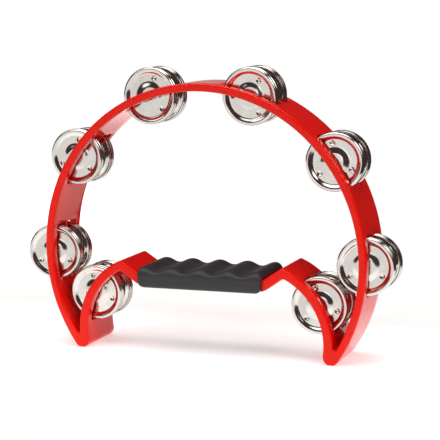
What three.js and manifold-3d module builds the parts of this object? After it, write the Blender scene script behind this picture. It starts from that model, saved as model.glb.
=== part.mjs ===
// Half-moon (cutaway) hand tambourine.
// One moulded frame: a deep, thin-walled ring that ends in two rounded horns, with a
// concave cutaway between them and a cranked handle bar across its top. A rubber
// sleeve covers the bar. Eight stations of two windows each go through the walls;
// a steel pin runs through both windows of a station and carries four stamped
// jingle discs, two in each window.
//
// Millimetres. X across the instrument, Y through its depth (the playing side faces
// -Y), Z up. The origin is on the plane that the two horn tips stand on.

import * as THREE from 'three';
import Module from 'manifold-3d';
import { mergeVertices } from 'three/addons/utils/BufferGeometryUtils.js';

// ---- driving dimensions --------------------------------------------------------

const DEPTH = 46;              // frame, front face to back face
const EDGE = 1.2;              // edge break on the front and back of every wall

const RING_OUT = 130;          // outer radius of the ring
const RING_IN = 124;           // inner radius of the ring wall

const BITE_X = 43.2;           // centres of the two cutaway arcs, from the ring centre
const BITE_Z = -61.2;
const BITE_IN = 53.3;          // cutaway side of the arc wall
const BITE_OUT = 60.2;         // horn side of the arc wall

const TIP_R = 6.2;             // rounding of a horn's tip
const TIP_FLAT = 20.0;         // half angle of the small foot flat under a tip, degrees
const NOTCH_R = 1.6;           // rounding at the bottom of the gap inside a horn

const BAR_TOP = -15.0;         // flat middle of the handle bar
const BAR_BOTTOM = -22.9;
const BAR_BEND_TOP = 50.6;     // where the bar turns up towards the shoulders
const BAR_BEND_BOTTOM = 52.3;
const SLOPE_TOP = 33.0;        // rise of the bar's upper and lower faces, degrees
const SLOPE_BOTTOM = 34.7;
const SHOULDER_R = 2.4;        // rounding on top of a shoulder
const ARMPIT_R = 2.6;          // rounding under a shoulder

const RING_STEP = 4;           // facet angle along the ring
const BITE_STEP = 5.5;         // facet angle along the cutaway arcs

const RAIL = 7.5;              // wall left in front of and behind the windows
const RIB = 4.0;               // rib between the two windows of a station
const WINDOW = 44.8;           // window length along the wall

const PIN_CIRCLE = 127;        // pins in the ring, radius from the ring centre
const PIN_ARC = 56.3;          // pins in the cutaway arcs, radius from the arc centre
const PIN_R = 1.3;
const PIN_HOLE_R = 1.62;
const PIN_FRONT = -19.7;       // blind end, inside the front rail
const PIN_BACK = 22.3;         // plain end, just under the back face

const DISC_R = 21.5;           // jingle disc
const DISC_HOLE_R = 2.6;
const DISC_HIGH = 3.2;         // rim crest to skirt edge
const SHEET = 0.45;            // sheet thickness
const PAIR_GAP = 0.4;          // between the two discs of a pair at rest
const FRONT_PAIR_Y = -14.7;    // front crest of the pair in the front window
const REAR_PAIR_Y = 2.7;       // front edge of the pair in the rear window

const GRIP_HALF = 50.3;        // half length of the sleeve
const GRIP_DEPTH = 54.6;
const GRIP_BOTTOM = -24.8;
const GRIP_CREST = -9.0;       // between the finger grooves
const GRIP_VALLEY = -12.3;     // bottom of a finger groove
const GRIP_PITCH = 23;         // one finger
const GRIP_FIT = 0.35;         // clearance to the bar

// ---- solids --------------------------------------------------------------------

const wasm = await Module();
wasm.setup();

const toSolid = (geometry) => {
  const g = geometry.clone();
  for (const name of Object.keys(g.attributes)) if (name !== 'position') g.deleteAttribute(name);
  const m = mergeVertices(g, 1e-4);
  return new wasm.Manifold(new wasm.Mesh({
    numProp: 3,
    vertProperties: new Float32Array(m.attributes.position.array),
    triVerts: new Uint32Array(m.index.array),
  }));
};

const toGeometry = (solid) => {
  const m = solid.getMesh();
  const g = new THREE.BufferGeometry();
  g.setAttribute('position', new THREE.BufferAttribute(new Float32Array(m.vertProperties), 3));
  g.setIndex(new THREE.BufferAttribute(new Uint32Array(m.triVerts), 1));
  g.computeVertexNormals();
  return g;
};

const rad = (deg) => deg * Math.PI / 180;
const deg = (a) => a * 180 / Math.PI;

// Points of an arc about (cx, cz), both ends included.
const arc = (cx, cz, r, from, to, step) => {
  const n = Math.max(1, Math.round(Math.abs(to - from) / step));
  return Array.from({ length: n + 1 }, (_, i) => {
    const a = rad(from + (to - from) * i / n);
    return [cx + r * Math.cos(a), cz + r * Math.sin(a)];
  });
};

// Where the circle about the ring centre meets the circle about the right-hand arc
// centre; of the two meeting points, the outer one.
const meet = (r0, r1) => {
  const d = Math.hypot(BITE_X, BITE_Z);
  const along = (r0 * r0 - r1 * r1 + d * d) / (2 * d);
  const off = Math.sqrt(r0 * r0 - along * along);
  const ux = BITE_X / d, uz = BITE_Z / d;
  return [ux * along - uz * off, uz * along + ux * off];
};

const angle = (x, z, cx = 0, cz = 0) => deg(Math.atan2(z - cz, x - cx));

// A circle of radius r about the arc centre, and a line through (x0, z0) rising at
// slope degrees, moved down by drop: their meeting point on the right.
const lineMeet = (r, x0, z0, slope, drop) => {
  const c = Math.cos(rad(slope)), s = Math.sin(rad(slope));
  const px = x0 + drop * s - BITE_X, pz = z0 - drop * c - BITE_Z;
  const b = px * c + pz * s;
  const t = -b + Math.sqrt(b * b - (px * px + pz * pz - r * r));
  return [BITE_X + px + t * c, BITE_Z + pz + t * s];
};

// ---- frame ---------------------------------------------------------------------

// horn tip and the rounded bottom of the gap inside the horn
const tip = meet(RING_OUT - TIP_R, BITE_IN + TIP_R);
const notch = meet(RING_IN - NOTCH_R, BITE_OUT + NOTCH_R);
const RING_HEIGHT = TIP_R * Math.cos(rad(TIP_FLAT)) - tip[1];

// rounded shoulder, above and below
const shoulder = lineMeet(BITE_OUT - SHOULDER_R, BAR_BEND_TOP, BAR_TOP, SLOPE_TOP, SHOULDER_R);
const armpit = lineMeet(BITE_IN - ARMPIT_R, BAR_BEND_BOTTOM, BAR_BOTTOM, SLOPE_BOTTOM, ARMPIT_R);

const outline = () => {
  const right = [
    ...arc(0, 0, RING_OUT, 90, angle(...tip), RING_STEP),
    ...arc(...tip, TIP_R, angle(...tip), -90 + TIP_FLAT, 18).slice(1),
    ...arc(...tip, TIP_R, -90 - TIP_FLAT, angle(BITE_X, BITE_Z, ...tip) - 360 * (angle(BITE_X, BITE_Z, ...tip) > 0), 18),
    ...arc(BITE_X, BITE_Z, BITE_IN, angle(...tip, BITE_X, BITE_Z), angle(...armpit, BITE_X, BITE_Z), BITE_STEP).slice(1),
    ...arc(...armpit, ARMPIT_R, angle(...armpit, BITE_X, BITE_Z), 90 + SLOPE_BOTTOM, 24).slice(1),
    [BAR_BEND_BOTTOM, BAR_BOTTOM],
  ];
  return [...right, ...right.slice(1).reverse().map(([x, z]) => [-x, z])];
};

const opening = () => {
  const right = [
    ...arc(0, 0, RING_IN, 90, angle(...notch), RING_STEP),
    ...arc(...notch, NOTCH_R, angle(...notch), angle(BITE_X, BITE_Z, ...notch) - 360 * (angle(BITE_X, BITE_Z, ...notch) > 0), 40).slice(1),
    ...arc(BITE_X, BITE_Z, BITE_OUT, angle(...notch, BITE_X, BITE_Z), angle(...shoulder, BITE_X, BITE_Z), BITE_STEP).slice(1),
    ...arc(...shoulder, SHOULDER_R, angle(...shoulder, BITE_X, BITE_Z), 90 + SLOPE_TOP, 16).slice(1),
    [BAR_BEND_TOP, BAR_TOP],
  ];
  return [...right, ...right.slice(1).reverse().map(([x, z]) => [-x, z])];
};

const shape = new THREE.Shape(outline().reverse().map((p) => new THREE.Vector2(...p)));
shape.holes.push(new THREE.Path(opening().map((p) => new THREE.Vector2(...p))));

const blank = new THREE.ExtrudeGeometry(shape, {
  depth: DEPTH - 2 * EDGE, steps: 1,
  bevelEnabled: true, bevelThickness: EDGE, bevelSize: EDGE, bevelOffset: -EDGE, bevelSegments: 1,
});
blank.translate(0, 0, -(DEPTH - 2 * EDGE) / 2);
blank.rotateX(Math.PI / 2);

// Stations: pin position, and the direction of the wall's outward normal there.
const ringStation = (side, a) => ({
  x: side * PIN_CIRCLE * Math.cos(rad(a)), z: PIN_CIRCLE * Math.sin(rad(a)),
  normal: side > 0 ? a : 180 - a, inward: 7, outward: 5,
});
const arcStation = (side, a) => ({
  x: side * (BITE_X + PIN_ARC * Math.cos(rad(a))), z: BITE_Z + PIN_ARC * Math.sin(rad(a)),
  normal: side > 0 ? a : 180 - a, inward: 9, outward: 5,
});
// Discs are loose on their pins. Each pair leans a little about the wall's own
// direction (degrees; positive when the edge outside the wall moves back), and rests a
// little off the pin's centre (x, z): [front pair, rear pair].
const HANG = {
  top_left: [[2.0, 0.3, -0.35], [-1.5, 0.1, -0.4]],
  top_right: [[-2.5, 0.2, -0.6], [-1.5, 0.1, -0.4]],
  upper_left: [[-2.0, -0.3, 0.2], [2.5, -0.1, -0.3]],
  upper_right: [[6.0, 0.3, -0.3], [2.0, 0.1, -0.4]],
  side_left: [[-9.0, -0.55, 0.1], [-3.0, -0.3, -0.3]],
  side_right: [[5.0, -0.2, -0.3], [1.5, 0.1, -0.4]],
  horn_left: [[-2.0, 0, -0.35], [2.0, 0.1, -0.3]],
  horn_right: [[5.0, -0.55, -0.65], [-1.5, -0.2, -0.4]],
};
const STATIONS = {
  top_left: ringStation(-1, 71.5),
  top_right: ringStation(1, 71.5),
  upper_left: ringStation(-1, 35.0),
  upper_right: ringStation(1, 35.0),
  side_left: ringStation(-1, -1.2),
  side_right: ringStation(1, -1.2),
  horn_left: arcStation(-1, 30.2),
  horn_right: arcStation(1, 30.2),
};

let body = toSolid(blank);
const windowDepth = (DEPTH - 2 * RAIL - RIB) / 2;
for (const s of Object.values(STATIONS)) {
  for (const way of [-1, 1]) {
    const cutter = new THREE.BoxGeometry(s.inward + s.outward, windowDepth, WINDOW);
    cutter.translate((s.outward - s.inward) / 2, way * (RIB + windowDepth) / 2, 0);
    cutter.rotateY(-rad(s.normal));
    cutter.translate(s.x, 0, s.z);
    body = body.subtract(toSolid(cutter));
  }
  const length = DEPTH / 2 + 1 - (PIN_FRONT - 0.3);
  const hole = new THREE.CylinderGeometry(PIN_HOLE_R, PIN_HOLE_R, length, 12);
  hole.translate(s.x, PIN_FRONT - 0.3 + length / 2, s.z);
  body = body.subtract(toSolid(hole));
}

// ---- handle sleeve -------------------------------------------------------------

// Upper edge of the sleeve, crests at 0, 1 and 2 pitches from the middle.
const gripTop = (x) => (GRIP_CREST + GRIP_VALLEY) / 2
  + (GRIP_CREST - GRIP_VALLEY) / 2 * Math.cos(2 * Math.PI * x / GRIP_PITCH);
const gripRight = [];
for (let i = 0; i <= 16; i++) {
  const x = 2 * GRIP_PITCH * i / 16;
  gripRight.push([x, gripTop(x)]);
}
gripRight.push(
  [GRIP_HALF - 2.2, GRIP_CREST - 1.0], [GRIP_HALF - 0.6, GRIP_CREST - 2.8], [GRIP_HALF, GRIP_CREST - 5.2],
  [GRIP_HALF, GRIP_BOTTOM + 4.8], [GRIP_HALF - 1.4, GRIP_BOTTOM + 1.4], [GRIP_HALF - 4.8, GRIP_BOTTOM],
);
const gripOutline = [...gripRight, ...gripRight.slice(1).reverse().map(([x, z]) => [-x, z])];
const gripBlank = new THREE.ExtrudeGeometry(
  new THREE.Shape(gripOutline.map((p) => new THREE.Vector2(...p))), {
    depth: GRIP_DEPTH - 5, steps: 1,
    bevelEnabled: true, bevelThickness: 2.5, bevelSize: 2.2, bevelOffset: -2.2, bevelSegments: 2,
  });
gripBlank.translate(0, 0, -(GRIP_DEPTH - 5) / 2);
gripBlank.rotateX(Math.PI / 2);
const slot = new THREE.BoxGeometry(
  2 * GRIP_HALF + 10, DEPTH + 2 * GRIP_FIT, BAR_TOP - BAR_BOTTOM + 2 * GRIP_FIT);
slot.translate(0, 0, (BAR_TOP + BAR_BOTTOM) / 2);
const sleeve = toSolid(gripBlank).subtract(toSolid(slot));

// ---- jingle disc ---------------------------------------------------------------

// Stamped sheet disc: a rounded bead round the edge, a skirt behind it, and a flat
// face set back from the bead. y runs from the bead's crest towards the skirt.
const discProfile = [
  [DISC_HOLE_R, 0.9], [18.3, 1.1], [20.3, 0.0], [DISC_R, 0.8], [DISC_R, DISC_HIGH],
  [DISC_R - SHEET, DISC_HIGH], [DISC_R - 2.2, 1.1 + SHEET], [DISC_HOLE_R, 0.9 + SHEET],
  [DISC_HOLE_R, 0.9],
].map(([r, y]) => new THREE.Vector2(r, y));
const discGeometry = (towardBack) => {
  const profile = towardBack
    ? discProfile.map((p) => new THREE.Vector2(p.x, -p.y)).reverse()
    : discProfile;
  return new THREE.LatheGeometry(profile, 16);
};
// Make sure a lathed surface faces outwards.
const outward = (geometry) => {
  const g = geometry.toNonIndexed();
  const p = g.attributes.position;
  let volume = 0;
  const a = new THREE.Vector3(), b = new THREE.Vector3(), c = new THREE.Vector3();
  for (let i = 0; i < p.count; i += 3) {
    a.fromBufferAttribute(p, i); b.fromBufferAttribute(p, i + 1); c.fromBufferAttribute(p, i + 2);
    volume += a.dot(b.cross(c));
  }
  if (volume > 0) return geometry;
  const index = geometry.index.array;
  for (let i = 0; i < index.length; i += 3) [index[i], index[i + 1]] = [index[i + 1], index[i]];
  geometry.computeVertexNormals();
  return geometry;
};
const frontDisc = outward(discGeometry(false));
const backDisc = outward(discGeometry(true));

// ---- materials -----------------------------------------------------------------

const redPlastic = new THREE.MeshStandardMaterial({ color: 0xd9140c, roughness: 0.18, metalness: 0 });
const rubber = new THREE.MeshStandardMaterial({ color: 0x26262a, roughness: 0.6, metalness: 0 });
const plated = new THREE.MeshStandardMaterial({ color: 0xd8d8d4, roughness: 0.12, metalness: 1 });
const steel = new THREE.MeshStandardMaterial({ color: 0x9a9a98, roughness: 0.35, metalness: 1 });

// ---- assembly ------------------------------------------------------------------

const tambourine = new THREE.Group();
tambourine.position.set(0, 0, RING_HEIGHT);

const put = (name, geometry, material, x = 0, y = 0, z = 0) => {
  const mesh = new THREE.Mesh(geometry, material.clone());
  mesh.name = name;
  mesh.position.set(x, y, z);
  tambourine.add(mesh);
  return mesh;
};

put('frame', toGeometry(body), redPlastic);
put('grip', toGeometry(sleeve), rubber);

const pinGeometry = new THREE.CylinderGeometry(PIN_R, PIN_R, PIN_BACK - PIN_FRONT, 12);
const pairDepth = 2 * DISC_HIGH + PAIR_GAP;
for (const [station, s] of Object.entries(STATIONS)) {
  put(`pin_${station}`, pinGeometry, steel, s.x, (PIN_BACK + PIN_FRONT) / 2, s.z);
  const along = new THREE.Vector3(-Math.sin(rad(s.normal)), 0, Math.cos(rad(s.normal)));
  for (const [first, restY, [lean, dx, dz]] of [[1, FRONT_PAIR_Y, HANG[station][0]], [3, REAR_PAIR_Y, HANG[station][1]]]) {
    // a leaning pair sits far enough back to clear the edge of its window
    const back = Math.max(0, 4.8 * Math.sin(rad(Math.abs(lean))) - 0.4);
    const turn = new THREE.Quaternion().setFromAxisAngle(along, rad(lean));
    const middle = new THREE.Vector3(s.x + dx, restY + back + pairDepth / 2, s.z + dz);
    // the front pair shows its faces forward and the rear pair backward, one disc
    // standing behind the other
    const [geometry, way] = first === 1 ? [frontDisc, 1] : [backDisc, -1];
    for (const [index, offset] of [
      [first === 1 ? first : first + 1, -way * pairDepth / 2],
      [first === 1 ? first + 1 : first, way * (pairDepth / 2 - DISC_HIGH)],
    ]) {
      const disc = put(`jingle_${station}_${index}`, geometry, plated);
      disc.position.copy(middle).add(new THREE.Vector3(0, offset, 0).applyQuaternion(turn));
      disc.quaternion.copy(turn);
    }
  }
}

export default tambourine;
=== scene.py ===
"""Half-moon (cutaway) hand tambourine: the looks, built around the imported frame."""

import math

import bmesh
import bpy
from mathutils import Matrix, Vector
from mathutils.geometry import tessellate_polygon


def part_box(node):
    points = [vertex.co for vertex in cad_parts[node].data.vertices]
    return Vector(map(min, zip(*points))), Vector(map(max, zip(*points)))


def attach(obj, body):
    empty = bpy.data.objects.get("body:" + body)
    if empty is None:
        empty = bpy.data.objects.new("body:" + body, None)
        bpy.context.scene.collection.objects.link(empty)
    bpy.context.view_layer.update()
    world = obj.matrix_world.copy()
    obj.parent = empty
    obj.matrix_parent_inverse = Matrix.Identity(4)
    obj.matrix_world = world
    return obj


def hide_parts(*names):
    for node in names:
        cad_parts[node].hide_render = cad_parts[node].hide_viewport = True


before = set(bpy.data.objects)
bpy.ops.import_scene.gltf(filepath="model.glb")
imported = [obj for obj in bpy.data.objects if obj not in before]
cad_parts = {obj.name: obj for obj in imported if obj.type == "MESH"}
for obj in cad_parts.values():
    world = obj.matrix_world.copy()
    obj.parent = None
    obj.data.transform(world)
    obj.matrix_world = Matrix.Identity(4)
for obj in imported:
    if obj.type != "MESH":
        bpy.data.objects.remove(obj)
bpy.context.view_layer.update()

MM = 0.001
rad = math.radians

# ---- places, from the frame ------------------------------------------------------
# Modelling numbers below are millimetres in the ring's own frame: the origin at the
# ring's centre, Y through the depth, Z up.
RING_OUT, RING_IN = 130.0, 124.0
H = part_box("frame")[1].z / MM - RING_OUT          # height of the ring's centre
CENTRE = Vector((0.0, 0.0, H * MM))

SIDES = ("left", "right")
ROWS = ("top", "upper", "side", "horn")
WALL_ANGLE = {"top": 71.5, "upper": 35.0, "side": -1.2, "horn": 30.2}


def pin_place(station):
    lo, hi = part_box("pin_" + station)
    return (lo.x + hi.x) / 2 / MM, (lo.z + hi.z) / 2 / MM - H


# ---- camera ----------------------------------------------------------------------
AZ, EL, ROLL = rad(22.394), rad(8.995), rad(-1.582)
DIST = 1050.76
TARGET = Vector((8.03, 2.0, 100.77))
back = Vector((math.sin(AZ) * math.cos(EL), -math.cos(AZ) * math.cos(EL), math.sin(EL)))
right = (-back).cross(Vector((0, 0, 1))).normalized()
up = right.cross(-back)
cam_x = right * math.cos(ROLL) + up * math.sin(ROLL)
cam_y = -right * math.sin(ROLL) + up * math.cos(ROLL)
cam_data = bpy.data.cameras.new("camera")
cam_data.sensor_fit = "HORIZONTAL"
cam_data.sensor_width = 36.0
cam_data.lens = 1382.6 / 440 * 36.0
cam_data.clip_start = 0.05
cam_data.clip_end = 100.0
camera = bpy.data.objects.new("camera", cam_data)
bpy.context.scene.collection.objects.link(camera)
place = (TARGET + back * DIST) * MM
camera.matrix_world = Matrix((
    (cam_x.x, cam_y.x, back.x, place.x),
    (cam_x.y, cam_y.y, back.y, place.y),
    (cam_x.z, cam_y.z, back.z, place.z),
    (0, 0, 0, 1)))
bpy.context.scene.camera = camera


# ---- materials -------------------------------------------------------------------
class Nodes:
    """Small helper around one material's node tree."""

    def __init__(self, name):
        self.mat = bpy.data.materials.new(name)
        self.mat.use_nodes = True
        self.tree = self.mat.node_tree
        self.tree.nodes.clear()
        self.out = self.add("ShaderNodeOutputMaterial")
        self.bsdf = self.add("ShaderNodeBsdfPrincipled")
        self.link(self.bsdf.outputs[0], self.out.inputs["Surface"])
        self.coord = self.add("ShaderNodeTexCoord").outputs["Object"]

    def add(self, kind, **props):
        node = self.tree.nodes.new(kind)
        for key, value in props.items():
            setattr(node, key, value)
        return node

    def link(self, a, b):
        self.tree.links.new(a, b)

    def noise(self, scale, detail=3.0, rough=0.5, vector=None, distortion=0.0):
        node = self.add("ShaderNodeTexNoise")
        node.inputs["Scale"].default_value = scale
        node.inputs["Detail"].default_value = detail
        node.inputs["Roughness"].default_value = rough
        node.inputs["Distortion"].default_value = distortion
        self.link(vector or self.coord, node.inputs["Vector"])
        return node.outputs["Fac"]

    def ramp(self, fac, stops):
        node = self.add("ShaderNodeValToRGB")
        while len(node.color_ramp.elements) < len(stops):
            node.color_ramp.elements.new(0.5)
        for element, (pos, colour) in zip(node.color_ramp.elements, stops):
            element.position = pos
            element.color = (*colour, 1.0) if len(colour) == 3 else colour
        self.link(fac, node.inputs["Fac"])
        return node.outputs["Color"]

    def spread(self, fac, lo, hi, from_lo=0.0, from_hi=1.0):
        node = self.add("ShaderNodeMapRange")
        node.inputs["From Min"].default_value = from_lo
        node.inputs["From Max"].default_value = from_hi
        node.inputs["To Min"].default_value = lo
        node.inputs["To Max"].default_value = hi
        self.link(fac, node.inputs["Value"])
        return node.outputs["Result"]

    def math(self, op, a, b=None):
        node = self.add("ShaderNodeMath", operation=op)
        for slot, value in zip((0, 1), (a, b)):
            if value is None:
                continue
            if isinstance(value, (int, float)):
                node.inputs[slot].default_value = value
            else:
                self.link(value, node.inputs[slot])
        return node.outputs[0]

    def bump(self, height, strength, distance, chain=None):
        node = self.add("ShaderNodeBump")
        node.inputs["Strength"].default_value = strength
        node.inputs["Distance"].default_value = distance
        self.link(height, node.inputs["Height"])
        if chain is not None:
            self.link(chain, node.inputs["Normal"])
        return node.outputs["Normal"]

    def scaled(self, x, y, z):
        node = self.add("ShaderNodeMapping")
        node.inputs["Scale"].default_value = (x, y, z)
        self.link(self.coord, node.inputs["Vector"])
        return node.outputs["Vector"]

    def set(self, **values):
        for key, value in values.items():
            socket = self.bsdf.inputs[key.replace("_", " ")]
            if hasattr(value, "is_output"):
                self.link(value, socket)
            else:
                socket.default_value = value


def gloss_plastic():
    """Bright red injection-moulded plastic: glossy, with the faint waviness of a
    moulded wall, slow changes of gloss, and hairline handling scratches."""
    n = Nodes("gloss_plastic_red")
    cloud = n.noise(18.0, 3.0, 0.55)
    colour = n.ramp(cloud, [(0.30, (0.760, 0.0060, 0.0030)), (0.70, (0.840, 0.0085, 0.0042))])
    gloss = n.spread(n.noise(55.0, 4.0, 0.6), 0.085, 0.150, 0.3, 0.7)
    hair = n.noise(900.0, 2.0, 0.7, n.scaled(1.0, 0.06, 0.35))
    marks = n.ramp(hair, [(0.66, (0, 0, 0)), (0.74, (1, 1, 1))])
    rough = n.math("ADD", gloss, n.math("MULTIPLY", marks, 0.10))
    wave = n.bump(n.noise(42.0, 2.0, 0.4), 0.16, 0.0006)
    fine = n.bump(n.noise(1500.0, 3.0, 0.55), 0.05, 0.00008, wave)
    n.set(Base_Color=colour, Roughness=rough, Normal=fine, IOR=1.50)
    n.bsdf.inputs["Specular Tint"].default_value = (1.0, 0.42, 0.33, 1.0)
    return n.mat


def plated_metal():
    """Nickel-plated stamped sheet: bright, with fine turned rings from polishing and slow cloudy changes of
    gloss."""
    n = Nodes("nickel_plate")
    split = n.add("ShaderNodeSeparateXYZ")
    n.link(n.coord, split.inputs[0])
    radius = n.math("SQRT", n.math("ADD", n.math("MULTIPLY", split.outputs[0], split.outputs[0]),
                                   n.math("MULTIPLY", split.outputs[2], split.outputs[2])))
    join = n.add("ShaderNodeCombineXYZ")
    n.link(radius, join.inputs[0])
    rings = n.noise(3600.0, 2.0, 0.6, join.outputs[0])
    cloud = n.noise(130.0, 4.0, 0.6)
    colour = n.ramp(cloud, [(0.30, (0.600, 0.598, 0.565)), (0.70, (0.690, 0.686, 0.650))])
    gloss = n.math("ADD", n.spread(cloud, 0.075, 0.150, 0.3, 0.7), n.spread(rings, -0.02, 0.05))
    ringed = n.bump(rings, 0.10, 0.00003)
    wavy = n.bump(n.noise(150.0, 2.0, 0.5), 0.22, 0.00050, ringed)
    n.set(Base_Color=colour, Metallic=1.0, Roughness=gloss, Normal=wavy)
    return n.mat


def satin_rubber():
    """Soft moulded rubber sleeve: near-black grey, satin, with an even fine grain and
    slightly polished patches where a hand rubs it."""
    n = Nodes("satin_rubber")
    worn = n.noise(38.0, 3.0, 0.55)
    colour = n.ramp(worn, [(0.30, (0.0290, 0.0295, 0.0330)), (0.70, (0.0385, 0.0390, 0.0430))])
    grain = n.noise(1300.0, 3.0, 0.6)
    rough = n.math("ADD", n.spread(worn, 0.36, 0.47, 0.3, 0.7), n.spread(grain, -0.03, 0.05))
    skin = n.bump(grain, 0.22, 0.00012)
    soft = n.bump(n.noise(85.0, 2.0, 0.5), 0.12, 0.0006, skin)
    n.set(Base_Color=colour, Roughness=rough, Normal=soft, IOR=1.50)
    n.bsdf.inputs["Specular IOR Level"].default_value = 0.30
    return n.mat


def drawn_steel():
    """Drawn steel wire: fine scratches along its length."""
    n = Nodes("drawn_steel")
    streak = n.noise(2600.0, 3.0, 0.6, n.scaled(1.0, 0.03, 1.0))
    colour = n.ramp(streak, [(0.3, (0.40, 0.40, 0.39)), (0.7, (0.56, 0.56, 0.54))])
    n.set(Base_Color=colour, Metallic=1.0, Roughness=n.spread(streak, 0.20, 0.38, 0.3, 0.7),
          Normal=n.bump(streak, 0.2, 0.00004))
    return n.mat


RED = gloss_plastic()
NICKEL = plated_metal()
RUBBER = satin_rubber()
STEEL = drawn_steel()


# ---- mesh helpers ----------------------------------------------------------------
def make(name, verts, faces, material, body, origin=Vector((0, 0, 0)), sharp=None):
    """A piece from millimetre vertices; origin in metres is added as its place."""
    mesh = bpy.data.meshes.new(name)
    mesh.from_pydata([(x * MM, y * MM, z * MM) for x, y, z in verts], [], faces)
    bm = bmesh.new()
    bm.from_mesh(mesh)
    bmesh.ops.remove_doubles(bm, verts=bm.verts, dist=1e-7)
    bmesh.ops.recalc_face_normals(bm, faces=bm.faces)
    bm.to_mesh(mesh)
    bm.free()
    for face in mesh.polygons:
        face.use_smooth = True
    if sharp is not None:
        mesh.set_sharp_from_angle(angle=rad(sharp))
    mesh.materials.append(material)
    obj = bpy.data.objects.new(name, mesh)
    obj.location = origin
    bpy.context.scene.collection.objects.link(obj)
    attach(obj, body)
    return obj


def lathe(profile, angles, warp=None, closed=True):
    """Vertices and faces of a profile (r, y) turned about Y at the given angles."""
    verts, faces = [], []
    rows, cols = len(profile), len(angles)
    for j, (r, y) in enumerate(profile):
        for a in angles:
            dy = warp(j, r, a) if warp else 0.0
            verts.append((r * math.cos(a), y + dy, r * math.sin(a)))
    last = rows if closed else rows - 1
    for j in range(last):
        j2 = (j + 1) % rows
        for i in range(cols):
            i2 = (i + 1) % cols
            faces.append((j * cols + i, j * cols + i2, j2 * cols + i2, j2 * cols + i))
    return verts, faces


# ---- frame -----------------------------------------------------------------------
DEPTH = 46.0
BITE_X, BITE_Z = 43.2, -61.2
BITE_IN, BITE_OUT = 53.3, 60.2
TIP_R, TIP_FLAT, NOTCH_R = 6.2, 20.0, 1.6
BAR_TOP, BAR_BOTTOM = -15.0, -22.9
BAR_BEND_TOP, BAR_BEND_BOTTOM = 50.6, 52.3
SLOPE_TOP, SLOPE_BOTTOM = 33.0, 34.7
SHOULDER_R, ARMPIT_R = 2.4, 2.6
BEND_R = 3.0                  # soft inside of the bar's bend
ROUND = 1.5                   # rounding of the frame's front and back edges
ROUND_STEPS = 5
HALF_WINDOW = 22.4
LIP = 0.5                     # rounding of a window's rim
LIP_STEPS = 3
CORNER = 1.4                  # corner radius of a window
CORNER_STEPS = 5
WINDOW_Y = ((-15.5, -2.0), (2.0, 15.5))


def meet(r0, r1):
    d = math.hypot(BITE_X, BITE_Z)
    along = (r0 * r0 - r1 * r1 + d * d) / (2 * d)
    off = math.sqrt(r0 * r0 - along * along)
    ux, uz = BITE_X / d, BITE_Z / d
    return ux * along - uz * off, uz * along + ux * off


def direction(x, z, cx=0.0, cz=0.0):
    return math.degrees(math.atan2(z - cz, x - cx))


def line_meet(r, x0, z0, slope, drop):
    c, s = math.cos(rad(slope)), math.sin(rad(slope))
    px, pz = x0 + drop * s - BITE_X, z0 - drop * c - BITE_Z
    b = px * c + pz * s
    t = -b + math.sqrt(b * b - (px * px + pz * pz - r * r))
    return BITE_X + px + t * c, BITE_Z + pz + t * s


tip = meet(RING_OUT - TIP_R, BITE_IN + TIP_R)
notch = meet(RING_IN - NOTCH_R, BITE_OUT + NOTCH_R)
shoulder = line_meet(BITE_OUT - SHOULDER_R, BAR_BEND_TOP, BAR_TOP, SLOPE_TOP, SHOULDER_R)
armpit = line_meet(BITE_IN - ARMPIT_R, BAR_BEND_BOTTOM, BAR_BOTTOM, SLOPE_BOTTOM, ARMPIT_R)

RIM = HALF_WINDOW + LIP
SOFT = CORNER + LIP
WIDE = RIM - SOFT
U_INNER = [-WIDE + 2 * WIDE * i / 12 for i in range(13)]
U_LINES = [-RIM] + U_INNER + [RIM]


def arc(cx, cz, r, a0, a1, step, windows=()):
    """Points (x, z, key) from angle a0 to a1. A window's own lines are put in, with
    key (row, index along U_LINES)."""
    way = 1 if a1 > a0 else -1
    marks = []
    for row, centre in windows:
        for i, u in enumerate(U_LINES):
            marks.append((centre + math.degrees(math.asin(u / r)), (row, i)))
    marks.sort(key=lambda m: way * m[0])
    marks = [(a0, None)] + marks + [(a1, None)]
    out = []
    for (f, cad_), (t, tk) in zip(marks, marks[1:]):
        out.append((f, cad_))
        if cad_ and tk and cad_[0] == tk[0]:
            continue
        n = max(1, math.ceil(abs(t - f) / step))
        out.extend((f + (t - f) * i / n, None) for i in range(1, n))
    out.append(marks[-1])
    return [(cx + r * math.cos(rad(a)), cz + r * math.sin(rad(a)), key) for a, key in out]


def soft_bend(x0, z0, slope, r, steps=4):
    """Points that round the corner at (x0, z0) between a line rising at slope on the
    outside and the flat towards the middle."""
    half = rad(slope) / 2
    t = r * math.tan(half)
    a = Vector((x0 + t * math.cos(rad(slope)), z0 + t * math.sin(rad(slope))))
    b = Vector((x0 - t, z0))
    c = Vector((x0, z0))
    return [tuple(a * (1 - s) ** 2 + c * 2 * s * (1 - s) + b * s * s)
            for s in (i / steps for i in range(steps + 1))]


def beyond(a, limit):
    return a - 360 if a > limit else a


def mirrored(points):
    right_half = [(x, z, (key[0] + "_right", key[1]) if key else None) for x, z, key in points]
    left_half = [(-x, z, (key[0] + "_left", key[1]) if key else None)
                 for x, z, key in reversed(points) if x > 1e-6]
    return right_half + left_half


ring_windows = [(row, WALL_ANGLE[row]) for row in ("top", "upper", "side")]
horn_windows = [("horn", WALL_ANGLE["horn"])]

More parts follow.
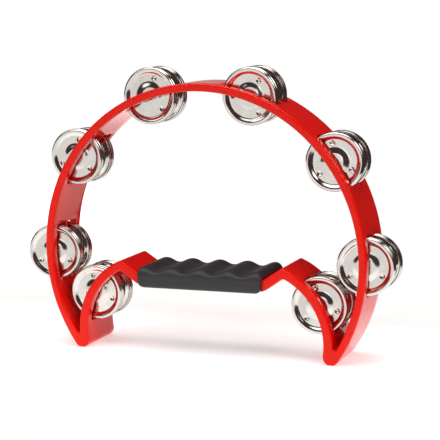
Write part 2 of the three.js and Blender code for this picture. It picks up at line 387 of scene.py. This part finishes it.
outer = []
outer += arc(0, 0, RING_OUT, 90, direction(*tip), 1.6, ring_windows)
outer += arc(*tip, TIP_R, direction(*tip), -90 + TIP_FLAT, 8)[1:]
outer += arc(*tip, TIP_R, -90 - TIP_FLAT, beyond(direction(BITE_X, BITE_Z, *tip), 0), 8)
outer += arc(BITE_X, BITE_Z, BITE_IN, direction(*tip, BITE_X, BITE_Z),
             direction(*armpit, BITE_X, BITE_Z), 2.6, horn_windows)[1:]
outer += arc(*armpit, ARMPIT_R, direction(*armpit, BITE_X, BITE_Z), 90 + SLOPE_BOTTOM, 10)[1:]
outer += [(x, z, None) for x, z in soft_bend(BAR_BEND_BOTTOM, BAR_BOTTOM, SLOPE_BOTTOM, BEND_R)]
outer += [(x, BAR_BOTTOM, None) for x in (40.0, 26.0, 13.0, 0.0)]
outer = mirrored(outer)

inner = []
inner += arc(0, 0, RING_IN, 90, direction(*notch), 1.6, ring_windows)
inner += arc(*notch, NOTCH_R, direction(*notch), beyond(direction(BITE_X, BITE_Z, *notch), 0), 14)[1:]
inner += arc(BITE_X, BITE_Z, BITE_OUT, direction(*notch, BITE_X, BITE_Z),
             direction(*shoulder, BITE_X, BITE_Z), 2.6, horn_windows)[1:]
inner += arc(*shoulder, SHOULDER_R, direction(*shoulder, BITE_X, BITE_Z), 90 + SLOPE_TOP, 9)[1:]
inner += [(x, z, None) for x, z in soft_bend(BAR_BEND_TOP, BAR_TOP, SLOPE_TOP, BEND_R)]
inner += [(x, BAR_TOP, None) for x in (40.0, 26.0, 13.0, 0.0)]
inner = mirrored(inner)


def into_material(loop, sense):
    """Unit mitre directions into the plastic at each point of a loop."""
    n = len(loop)
    out = []
    for i in range(n):
        p = Vector(loop[i][:2])
        a, b = Vector(loop[i - 1][:2]), Vector(loop[(i + 1) % n][:2])
        d0, d1 = (p - a).normalized(), (b - p).normalized()
        n0, n1 = Vector((d0.y, -d0.x)), Vector((d1.y, -d1.x))
        m = (n0 + n1).normalized()
        out.append(m * sense / max(0.5, m.dot(n0)))
    return out


def wall_y():
    rows = [-DEPTH / 2 + ROUND]
    for lo, hi in WINDOW_Y:
        rows += [lo - LIP, lo - LIP + SOFT, hi + LIP - SOFT, hi + LIP]
    return rows + [DEPTH / 2 - ROUND]


WALL_ROWS = wall_y()
verts, faces = [], []


def vert(x, y, z):
    verts.append((x, y, z))
    return len(verts) - 1


def station_frame(station):
    row, side = station.rsplit("_", 1)
    a = WALL_ANGLE[row] if side == "right" else 180 - WALL_ANGLE[row]
    e = Vector((math.cos(rad(a)), math.sin(rad(a))))
    # u grows with the angle on the right, and mirrors on the left
    t = Vector((-e.y, e.x)) * (1 if side == "right" else -1)
    if row == "horn":
        c = Vector((BITE_X if side == "right" else -BITE_X, BITE_Z))
        return c, e, t, BITE_IN, BITE_OUT, 1
    return Vector((0, 0)), e, t, RING_OUT, RING_IN, -1


def on_wall(station, which, u, depth):
    """(x, z) at tangent offset u and a depth under the outer (0) or inner (1) face."""
    c, e, t, r_outer, r_inner, inward = station_frame(station)
    r = (r_outer, r_inner)[which]
    way = inward if which == 0 else -inward
    p = c + e * (math.sqrt(r * r - u * u) + way * depth) + t * u
    return p.x, p.y


rims = {}


def wall(loop, which, sense):
    """One face of the wall all the way round, its windows left open, with the edge
    rounding in front and behind. Returns the two support rings on the flat faces."""
    n = len(loop)
    grid = [[vert(x, y, z) for y in WALL_ROWS] for x, z, _ in loop]
    at = {key: i for i, (_, _, key) in enumerate(loop) if key}
    mid = len(U_LINES) - 1
    for i in range(n):
        i2 = (i + 1) % n
        ka, kb = loop[i][2], loop[i2][2]
        inside = ka and kb and ka[0] == kb[0]
        corner = inside and (0 in (ka[1], kb[1]) or mid in (ka[1], kb[1]))
        for j in range(len(WALL_ROWS) - 1):
            if inside and j in (1, 2, 3, 5, 6, 7):
                continue
            faces.append((grid[i][j], grid[i2][j], grid[i2][j + 1], grid[i][j + 1]))
    for station in sorted({key[0] for _, _, key in loop if key}):
        for w, first in ((0, 1), (1, 5)):
            g = lambda ui, row: grid[at[(station, ui)]][first + row]
            ylo, yhi = WALL_ROWS[first + 1], WALL_ROWS[first + 2]
            ring, spec = [], []
            for ui in range(1, mid):
                ring.append(g(ui, 0)); spec.append((U_LINES[ui], ylo, 0.0, -1.0))
            corners = [(WIDE, ylo, -90, (mid, 0)), (WIDE, yhi, 0, (mid, 3)),
                       (-WIDE, yhi, 90, (0, 3)), (-WIDE, ylo, 180, (0, 0))]

            def turn(k):
                ua, ya, start, (ui, row) = corners[k]
                first_v = ring[-1]
                chain = [first_v]
                for s in range(1, CORNER_STEPS):
                    b = rad(start + 90 * s / CORNER_STEPS)
                    nu, ny = math.cos(b), math.sin(b)
                    x, z = on_wall(station, which, ua + SOFT * nu, 0.0)
                    v = vert(x, ya + SOFT * ny, z)
                    chain.append(v)
                    ring.append(v); spec.append((ua, ya, nu, ny))
                return chain, g(ui, row)

            chain, c = turn(0)
            ring.append(g(mid, 1)); spec.append((WIDE, ylo, 1.0, 0.0))
            chain.append(ring[-1]); fans = [(chain, c)]
            ring.append(g(mid, 2)); spec.append((WIDE, yhi, 1.0, 0.0))
            chain, c = turn(1)
            for k, ui in enumerate(range(mid - 1, 0, -1)):
                ring.append(g(ui, 3)); spec.append((U_LINES[ui], yhi, 0.0, 1.0))
                if k == 0:
                    chain.append(ring[-1]); fans.append((chain, c))
            chain, c = turn(2)
            ring.append(g(0, 2)); spec.append((-WIDE, yhi, -1.0, 0.0))
            chain.append(ring[-1]); fans.append((chain, c))
            ring.append(g(0, 1)); spec.append((-WIDE, ylo, -1.0, 0.0))
            chain, c = turn(3)
            chain.append(ring[0]); fans.append((chain, c))
            for chain, c in fans:
                for p, q in zip(chain, chain[1:]):
                    faces.append((c, p, q))
            previous = ring
            for s in range(1, LIP_STEPS + 1):
                f = rad(90 * s / LIP_STEPS)
                o, depth = LIP * math.sin(f), LIP * (1 - math.cos(f))
                current = []
                for ua, ya, nu, ny in spec:
                    x, z = on_wall(station, which, ua + (SOFT - o) * nu, depth)
                    current.append(vert(x, ya + (SOFT - o) * ny, z))
                m = len(current)
                for k in range(m):
                    k2 = (k + 1) % m
                    faces.append((previous[k], previous[k2], current[k2], current[k]))
                previous = current
            rims[(which, station, w)] = previous
    inward = into_material(loop, sense)
    support = []
    for sign, j in ((-1, 0), (1, len(WALL_ROWS) - 1)):
        previous = [column[j] for column in grid]
        for s in range(1, ROUND_STEPS + 2):
            if s <= ROUND_STEPS:
                f = rad(90 * s / ROUND_STEPS)
                y = sign * (DEPTH / 2 - ROUND + ROUND * math.sin(f))
                o = ROUND * (1 - math.cos(f))
            else:
                y, o = sign * DEPTH / 2, ROUND + 0.3
            current = [vert(x + m.x * o, y, z + m.y * o)
                       for (x, z, _), m in zip(loop, inward)]
            for k in range(n):
                k2 = (k + 1) % n
                faces.append((previous[k], previous[k2], current[k2], current[k]))
            previous = current
        support.append(previous)
    return support


outer_support = wall(outer, 0, 1)
inner_support = wall(inner, 1, -1)
for (which, station, w), ring in list(rims.items()):
    if which == 0:
        other = rims[(1, station, w)]
        m = len(ring)
        for k in range(m):
            k2 = (k + 1) % m
            faces.append((ring[k], ring[k2], other[k2], other[k]))

STATIONS = [row + "_" + side for row in ROWS for side in SIDES]
PIN_HOLE = 1.62


def circle(cx, cz, r, y, n=20):
    return [vert(cx + r * math.cos(2 * math.pi * k / n), y, cz + r * math.sin(2 * math.pi * k / n))
            for k in range(n)]


def cap(side):
    """The flat front or back face between the two support rings."""
    loops = [outer_support[side], inner_support[side]]
    if side == 1:
        for station in STATIONS:
            cx, cz = pin_place(station)
            rings = [circle(cx, cz, PIN_HOLE + 0.75, DEPTH / 2), circle(cx, cz, PIN_HOLE + 0.35, DEPTH / 2),
                     circle(cx, cz, PIN_HOLE, DEPTH / 2 - 0.35), circle(cx, cz, PIN_HOLE, DEPTH / 2 - 2.2)]
            for a, b in zip(rings, rings[1:]):
                for k in range(len(a)):
                    k2 = (k + 1) % len(a)
                    faces.append((a[k], a[k2], b[k2], b[k]))
            faces.append(tuple(rings[-1]))
            loops.append(rings[0])
    flat = [v for loop in loops for v in loop]
    triangles = tessellate_polygon([[Vector((verts[v][0], verts[v][2], 0.0)) for v in loop] for loop in loops])
    for tri in triangles:
        faces.append(tuple(flat[k] for k in tri))


cap(0)
cap(1)
shell = make("frame_shell", verts, faces, RED, "frame", origin=CENTRE, sharp=50)
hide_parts("frame")


# ---- pins ------------------------------------------------------------------------
PIN_R, PIN_FRONT, PIN_BACK = 1.3, -19.7, 22.3
for station in STATIONS:
    x, z = pin_place(station)
    profile = [(0.0, PIN_FRONT), (1.0, PIN_FRONT), (PIN_R, PIN_FRONT + 0.3)]
    profile += [(PIN_R, -15.4), (PIN_R, 0.0), (PIN_R, PIN_BACK - 0.35), (PIN_R - 0.12, PIN_BACK - 0.12),
                (PIN_R - 0.35, PIN_BACK), (0.0, PIN_BACK)]
    v, f = lathe(profile[1:-1], [2 * math.pi * k / 24 for k in range(24)], closed=False)
    f.append(tuple(range(24)))
    f.append(tuple(len(v) - 24 + k for k in range(24)))
    pin = make("pin_steel_" + station, v, f, STEEL, "frame",
               origin=Vector((x * MM, 0.0, (z + H) * MM)), sharp=40)
    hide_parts("pin_" + station)


# ---- jingle discs ----------------------------------------------------------------
DISC_R, DISC_HIGH, SHEET = 21.5, 3.2, 0.5
DIMPLE_AT, DIMPLE_R, DIMPLE_DEEP = 13.7, 2.3, 0.86
BASE = 1.75                   # the flat face, behind the bead's crest


def smooth(t):
    t = min(1.0, max(0.0, t))
    return t * t * (3 - 2 * t)


def face_y(r):
    """Front surface of the disc inside its bead: a boss in the middle, then the flat."""
    boss = 1.28 * smooth((11.3 - r) / 5.2)
    return BASE - boss


BEAD_R, BEAD_WIDE, BEAD_HIGH = 20.0, 1.5, 1.6


def bead(a, thick=0.0):
    """A point of the rolled bead round the rim, 90 at its crest and 0 at its widest."""
    return (BEAD_R + (BEAD_WIDE - thick) * math.cos(rad(a)), BEAD_HIGH - (BEAD_HIGH - thick) * math.sin(rad(a)))


def disc_profile():
    out = []
    # rim of the hole, rolled in slightly
    out += [(2.6, face_y(2.6) + 0.34), (2.66, face_y(2.8) + 0.14), (2.85, face_y(2.85))]
    out += [(r, face_y(r)) for r in (3.4, 4.6, 5.6, 6.3, 7.0, 7.7, 8.4, 9.1, 9.8, 10.4, 10.9)]
    band = [DIMPLE_AT - 2.3 + 4.6 * i / 14 for i in range(15)]
    out += [(r, BASE) for r in band]
    # dished flank of the bead, the rolled bead, and the edge turned under
    out += [(16.40, BASE - 0.07), (16.75, BASE - 0.23), (17.2, BASE - 0.51), (17.7, BASE - 0.86),
            (18.2, BASE - 1.19), (18.65, 0.31), (19.1, 0.13), (19.55, 0.03)]
    out += [bead(a) for a in range(90, -46, -12)]
    out += [(20.96, 3.12), (20.86, 3.2), (20.68, 3.12)]
    # underside
    out += [bead(a, SHEET) for a in range(-40, 91, 18)]
    out += [(19.2, 0.66), (18.5, 0.98), (17.6, 1.58), (16.9, BASE + SHEET - 0.08), (16.3, BASE + SHEET)]
    out += [(r, BASE + SHEET) for r in reversed(band)]
    out += [(r, face_y(r) + SHEET) for r in (10.6, 9.8, 9.1, 8.4, 7.7, 7.0, 6.3, 5.6, 4.4, 3.4)]
    out += [(2.85, face_y(2.85) + SHEET), (2.64, face_y(2.8) + SHEET - 0.05)]
    return out


def disc_mesh():
    """One stamping, its crest at y = 0 facing -Y, three dimples pressed in from the
    front at 0, 120 and 240 degrees."""
    fine = [math.radians(-10.5 + 1.3125 * k) for k in range(17)]
    coarse = [math.radians(10.5 + 99 * k / 17) for k in range(1, 17)]
    angles = [a + math.radians(120 * k) for k in range(3) for a in fine + coarse]
    profile = disc_profile()

    def warp(j, r, a):
        # the punch shows on both sides of the sheet
        if not DIMPLE_AT - DIMPLE_R < r < DIMPLE_AT + DIMPLE_R:
            return 0.0
        x, z = r * math.cos(a), r * math.sin(a)
        push = 0.0
        for k in range(3):
            b = math.radians(120 * k)
            d = math.hypot(x - DIMPLE_AT * math.cos(b), z - DIMPLE_AT * math.sin(b)) / DIMPLE_R
            if d < 1.0:
                push = max(push, DIMPLE_DEEP * smooth((1.0 - d) / 0.78))
        return push

    v, f = lathe(profile, angles, warp)
    mesh = bpy.data.meshes.new("jingle_stamping")
    mesh.from_pydata([(x * MM, y * MM, z * MM) for x, y, z in v], [], f)
    bm = bmesh.new()
    bm.from_mesh(mesh)
    bmesh.ops.recalc_face_normals(bm, faces=bm.faces)
    bm.to_mesh(mesh)
    bm.free()
    for face in mesh.polygons:
        face.use_smooth = True
    mesh.materials.append(NICKEL)
    return mesh


STAMPING = disc_mesh()
# where the first dimple of each front disc stands, in degrees; the others are spread
FIRST_DIMPLE = {"upper_right": 97, "side_right": 91, "horn_right": 105, "horn_left": 101,
                "side_left": 90, "upper_left": 80, "top_left": 76, "top_right": 58}
# how each pair hangs on its pin: [front pair, rear pair], each the lean about the
# wall's direction in degrees, positive when the edge outside the wall moves back, and
# the offset of its centre from the pin's
HANG = {
    "top_left": ((2.0, 0.3, -0.35), (-1.5, 0.1, -0.4)),
    "top_right": ((-2.5, 0.2, -0.6), (-1.5, 0.1, -0.4)),
    "upper_left": ((-2.0, -0.3, 0.2), (2.5, -0.1, -0.3)),
    "upper_right": ((6.0, 0.3, -0.3), (2.0, 0.1, -0.4)),
    "side_left": ((-9.0, -0.55, 0.1), (-3.0, -0.3, -0.3)),
    "side_right": ((5.0, -0.2, -0.3), (1.5, 0.1, -0.4)),
    "horn_left": ((-2.0, 0.0, -0.35), (2.0, 0.1, -0.3)),
    "horn_right": ((5.0, -0.55, -0.65), (-1.5, -0.2, -0.4)),
}
PAIR_DEPTH = 6.8
FRONT_PAIR_Y, REAR_PAIR_Y = -14.7, 2.7
for s_index, station in enumerate(STATIONS):
    _, _, along, _, _, _ = station_frame(station)
    if station.endswith("_left"):
        along = -along
    pin_x, pin_z = pin_place(station)
    for pair, (first, rest_y) in enumerate(((1, FRONT_PAIR_Y), (3, REAR_PAIR_Y))):
        lean, dx, dz = HANG[station][pair]
        set_back = max(0.0, 4.8 * math.sin(rad(abs(lean))) - 0.4)
        middle = Vector((pin_x + dx, rest_y + set_back + PAIR_DEPTH / 2, pin_z + dz + H)) * MM
        turn = Matrix.Rotation(rad(lean), 4, Vector((along.x, 0.0, along.y)))
        for k in (first, first + 1):
            node = f"jingle_{station}_{k}"
            obj = bpy.data.objects.new("disc_" + station + f"_{k}", STAMPING.copy())
            turn_deg = FIRST_DIMPLE[station] if k == 1 else (37 * s_index + 53 * k) % 120
            # the outermost disc of a pair has its crest at the pair's edge, and the
            # other stands behind it, facing the same way
            crest = -PAIR_DEPTH / 2 if k in (1, 4) else PAIR_DEPTH / 2 - DISC_HIGH
            spin = Matrix.Translation((0, crest * MM, 0)) @ Matrix.Rotation(-rad(turn_deg), 4, "Y")
            if first == 3:
                spin = Matrix.Rotation(math.pi, 4, "Z") @ spin
            obj.data.transform(spin)
            obj.matrix_world = Matrix.Translation(middle) @ turn
            bpy.context.scene.collection.objects.link(obj)
            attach(obj, node)
            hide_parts(node)


# ---- handle sleeve ---------------------------------------------------------------
GRIP_HALF, GRIP_Y = 50.3, 27.3
GRIP_BOTTOM, GRIP_CREST, GRIP_VALLEY, GRIP_PITCH = -24.8, -9.0, -12.3, 23.0
GRIP_FIT = 0.35


def grip_top(x):
    """Height of the sleeve's upper face along its length: four grooves."""
    c = math.cos(2 * math.pi * min(abs(x), 46.0) / GRIP_PITCH)
    shaped = math.copysign(abs(c) ** 0.9, c)
    return (GRIP_CREST + GRIP_VALLEY) / 2 + (GRIP_CREST - GRIP_VALLEY) / 2 * shaped


def rounded_section(x, inset, lift, top_drop):
    """Closed (y, z) section at x: flat front and back, rounded lower edges, a soft
    upper front edge and a broad upper back edge."""
    top = grip_top(x) - top_drop
    bottom = GRIP_BOTTOM + lift
    half = GRIP_Y - inset
    high = (top - GRIP_VALLEY) / (GRIP_CREST - GRIP_VALLEY)
    high = min(1.0, max(0.0, high))
    r_low = 2.6
    rows = []
    # from the lower front corner, up the front, over the top, down the back
    for s in range(7):
        a = rad(180 + 90 * (1 - s / 6))
        rows.append((-half + r_low + r_low * math.cos(a), bottom + r_low + r_low * math.sin(a)))
    front_run, front_drop = 4.2 + 2.8 * high, 3.5 + 3.5 * high
    zf = top - front_drop
    rows += [(-half, bottom + r_low + (zf - bottom - r_low) * t) for t in (0.35, 0.7)]
    for s in range(13):
        a = rad(90 * s / 12)
        # superellipse from the vertical front to the level top
        rows.append((-half + front_run * (1 - math.cos(a) ** 0.95), zf + front_drop * math.sin(a) ** 0.95))
    back_run, back_drop = 9.5, min(top - bottom - r_low - 1.0, 7.5)
    y0, y1 = -half + front_run, half - back_run
    rows += [(y0 + (y1 - y0) * t, top) for t in (0.12, 0.25, 0.4, 0.55, 0.7, 0.85)]
    for s in range(13):
        a = rad(90 - 90 * s / 12)
        rows.append((half - back_run * (1 - math.cos(a)), top - back_drop * (1 - math.sin(a))))
    zb = top - back_drop
    rows += [(half, zb + (bottom + r_low - zb) * t) for t in (0.35, 0.7)]
    for s in range(7):
        a = rad(-90 * s / 6)
        rows.append((half - r_low + r_low * math.cos(a), bottom + r_low + r_low * math.sin(a)))
    rows += [(half - r_low + (2 * r_low - 2 * half) * t, bottom) for t in (0.2, 0.4, 0.6, 0.8)]
    return rows


def build_grip():
    v, f = [], []
    # from above the ends have a small radius; seen from the front the corners are
    # rounder, so the underside and the top draw in sooner than the front and back
    plan_r, low_r, top_r = 2.4, 5.2, 4.4
    span = GRIP_HALF - low_r

    def shape_at(x):
        d = max(0.0, abs(x) - (GRIP_HALF - plan_r)) / plan_r
        e = max(0.0, abs(x) - (GRIP_HALF - low_r)) / low_r
        g = max(0.0, abs(x) - (GRIP_HALF - top_r)) / top_r
        rise = lambda t, r: r * (1 - math.sqrt(max(0.0, 1 - min(1.0, t) ** 2)))
        return rise(d, plan_r), rise(e, low_r), rise(g, top_r)

    n = 92
    places = [-span + 2 * span * i / n for i in range(n + 1)]
    ends = [GRIP_HALF - low_r + low_r * math.sin(rad(90 * i / 14)) for i in range(1, 15)]
    places = [-x for x in reversed(ends)] + places + ends
    stations = [(x,) + shape_at(x) for x in places]
    rings = []
    for x, inset, lift, drop in stations:
        section = rounded_section(x, inset, lift, drop)
        ring = []
        for y, z in section:
            v.append((x, y, z))
            ring.append(len(v) - 1)
        rings.append(ring)
    m = len(rings[0])
    for a, b in zip(rings, rings[1:]):
        for k in range(m):
            k2 = (k + 1) % m
            f.append((a[k], a[k2], b[k2], b[k]))
    # bar passage, right through
    y_slot = DEPTH / 2 + GRIP_FIT
    z_top, z_low = BAR_TOP + GRIP_FIT, BAR_BOTTOM - GRIP_FIT
    cy, cz = 0.0, (z_top + z_low) / 2
    hy, hz = y_slot, (z_top - z_low) / 2

    def slot_ring(x, grow):
        ring = []
        rr = 1.1
        for qy, qz, start in ((-1, -1, 180), (1, -1, 270), (1, 1, 0), (-1, 1, 90)):
            for s in range(5):
                a = rad(start + 90 * s / 4)
                v.append((x, cy + qy * (hy - rr) + (rr + grow) * math.cos(a), cz + qz * (hz - rr) + (rr + grow) * math.sin(a)))
                ring.append(len(v) - 1)
        return ring

    for side, ring in ((-1, rings[0]), (1, rings[-1])):
        x = side * GRIP_HALF
        mouth = slot_ring(x, 0.35)
        lip = slot_ring(x - side * 0.35, 0.0)
        deep = slot_ring(x - side * 12.0, 0.0)
        k_n = len(mouth)
        for a, b in ((mouth, lip), (lip, deep)):
            for k in range(k_n):
                k2 = (k + 1) % k_n
                f.append((a[k], a[k2], b[k2], b[k]))
        if side < 0:
            first_deep = deep
        else:
            for k in range(k_n):
                k2 = (k + 1) % k_n
                f.append((first_deep[k], first_deep[k2], deep[k2], deep[k]))
        flat = ring + mouth
        for tri in tessellate_polygon([[Vector((v[i][1], v[i][2], 0)) for i in ring],
                                       [Vector((v[i][1], v[i][2], 0)) for i in mouth]]):
            f.append(tuple(flat[i] for i in tri))
    return v, f


gv, gf = build_grip()
grip = make("grip_sleeve", gv, gf, RUBBER, "frame", origin=CENTRE, sharp=60)
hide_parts("grip")


# ---- floor and light -------------------------------------------------------------
def stage_floor():
    """A pale table that glows: brightest in a band right under the object, a painted pool of light that washes
    out the object's contact shadow, dim just behind that, and glowing again over its far half as a light table
    does.
    """
    n = Nodes("stage_white")
    tone = n.noise(3.0, 2.0, 0.5)
    n.set(Base_Color=n.ramp(tone, [(0.3, (0.90, 0.90, 0.90)), (0.7, (0.93, 0.93, 0.93))]), Roughness=0.9)
    n.bsdf.inputs["Specular IOR Level"].default_value = 0.1
    split = n.add("ShaderNodeSeparateXYZ")
    n.link(n.coord, split.inputs[0])
    # how strongly it glows, from well in front of the object to behind it: painted light in a band under the
    # object that washes out its contact shadow, a dim band behind it, then the glowing far half
    along = n.spread(split.outputs[1], 0.0, 1.0, -1.0, 1.0)
    glow_and_shadow_wash = n.ramp(along, [(0.0, (0.03,) * 3), (0.38, (0.03,) * 3), (0.45, (0.45,) * 3),
                          (0.52, (0.45,) * 3), (0.56, (0.05,) * 3), (0.66, (0.05,) * 3), (0.72, (0.60,) * 3)])
    n.bsdf.inputs["Emission Color"].default_value = (1.0, 1.0, 1.0, 1.0)
    n.link(glow_and_shadow_wash, n.bsdf.inputs["Emission Strength"])
    mesh = bpy.data.meshes.new("floor")
    mesh.from_pydata([(-9.0, -9.0, 0), (0.36, -9.0, 0), (0.36, 0.10, 0), (0.16, 0.225, 0), (-0.10, 0.335, 0), (-0.13, 0.45, 0), (-0.40, 0.90, 0), (-9.0, 0.90, 0)], [], [tuple(range(8))])
    mesh.materials.append(n.mat)
    floor = bpy.data.objects.new("floor", mesh)
    floor.location = (0, 0, -0.0002)
    bpy.context.scene.collection.objects.link(floor)


ROOM = (0.060, 0.034, 0.034, 1.0)   # the unlit studio round the table
TOP = 3.1                     # the soft box overhead
stage_floor()


def studio_world():
    """A big soft box overhead in an unlit room; the backdrop itself is white."""
    world = bpy.data.worlds.new("studio")
    world.use_nodes = True
    tree = world.node_tree
    tree.nodes.clear()
    out = tree.nodes.new("ShaderNodeOutputWorld")
    coord = tree.nodes.new("ShaderNodeTexCoord")

    def patch(where, half, soft, strength):
        d = Vector(where).normalized()
        dot = tree.nodes.new("ShaderNodeVectorMath")
        dot.operation = "DOT_PRODUCT"
        dot.inputs[1].default_value = d
        tree.links.new(coord.outputs["Generated"], dot.inputs[0])
        span = tree.nodes.new("ShaderNodeMapRange")
        span.interpolation_type = "SMOOTHSTEP"
        span.inputs["From Min"].default_value = math.cos(rad(half + soft))
        span.inputs["From Max"].default_value = math.cos(rad(half))
        span.inputs["To Min"].default_value = 0.0
        span.inputs["To Max"].default_value = strength
        tree.links.new(dot.outputs["Value"], span.inputs["Value"])
        return span.outputs["Result"]

    def add(a, b):
        node = tree.nodes.new("ShaderNodeMath")
        node.operation = "ADD"
        for slot, value in ((0, a), (1, b)):
            if isinstance(value, float):
                node.inputs[slot].default_value = value
            else:
                tree.links.new(value, node.inputs[slot])
        return node.outputs[0]

    total = add(0.0, patch((-0.10, -0.10, 1.0), 23.0, 14.0, TOP))
    total = add(total, patch((-0.62, -0.52, 0.58), 9.0, 9.0, 1.6))
    total = add(total, patch((0.03, -0.985, 0.13), 4.0, 5.0, 1.4))
    total = add(total, patch((-0.46, 0.88, 0.10), 5.0, 7.0, 0.35))
    total = add(total, patch((0.70, -0.40, 0.59), 8.0, 4.0, 4.2))
    total = add(total, patch((-0.25, -0.96, -0.03), 12.0, 7.0, 1.0))
    total = add(total, patch((0.80, -0.24, 0.56), 12.0, 10.0, 2.3))
    lights = tree.nodes.new("ShaderNodeBackground")
    lights.inputs["Color"].default_value = (1.0, 0.985, 0.965, 1.0)
    tree.links.new(total, lights.inputs["Strength"])
    room = tree.nodes.new("ShaderNodeBackground")
    room.inputs["Color"].default_value = ROOM
    lit = tree.nodes.new("ShaderNodeAddShader")
    tree.links.new(lights.outputs[0], lit.inputs[0])
    tree.links.new(room.outputs[0], lit.inputs[1])
    plain = tree.nodes.new("ShaderNodeBackground")
    plain.inputs["Color"].default_value = (1.0, 1.0, 1.0, 1.0)
    plain.inputs["Strength"].default_value = 1.0
    rays = tree.nodes.new("ShaderNodeLightPath")
    mix = tree.nodes.new("ShaderNodeMixShader")
    tree.links.new(rays.outputs["Is Camera Ray"], mix.inputs[0])
    tree.links.new(lit.outputs[0], mix.inputs[1])
    tree.links.new(plain.outputs[0], mix.inputs[2])
    tree.links.new(mix.outputs[0], out.inputs["Surface"])
    bpy.context.scene.world = world


studio_world()
view = bpy.context.scene.view_settings
view.view_transform = "Standard"
view.look = "None"
view.exposure = 0.0
view.gamma = 1.0
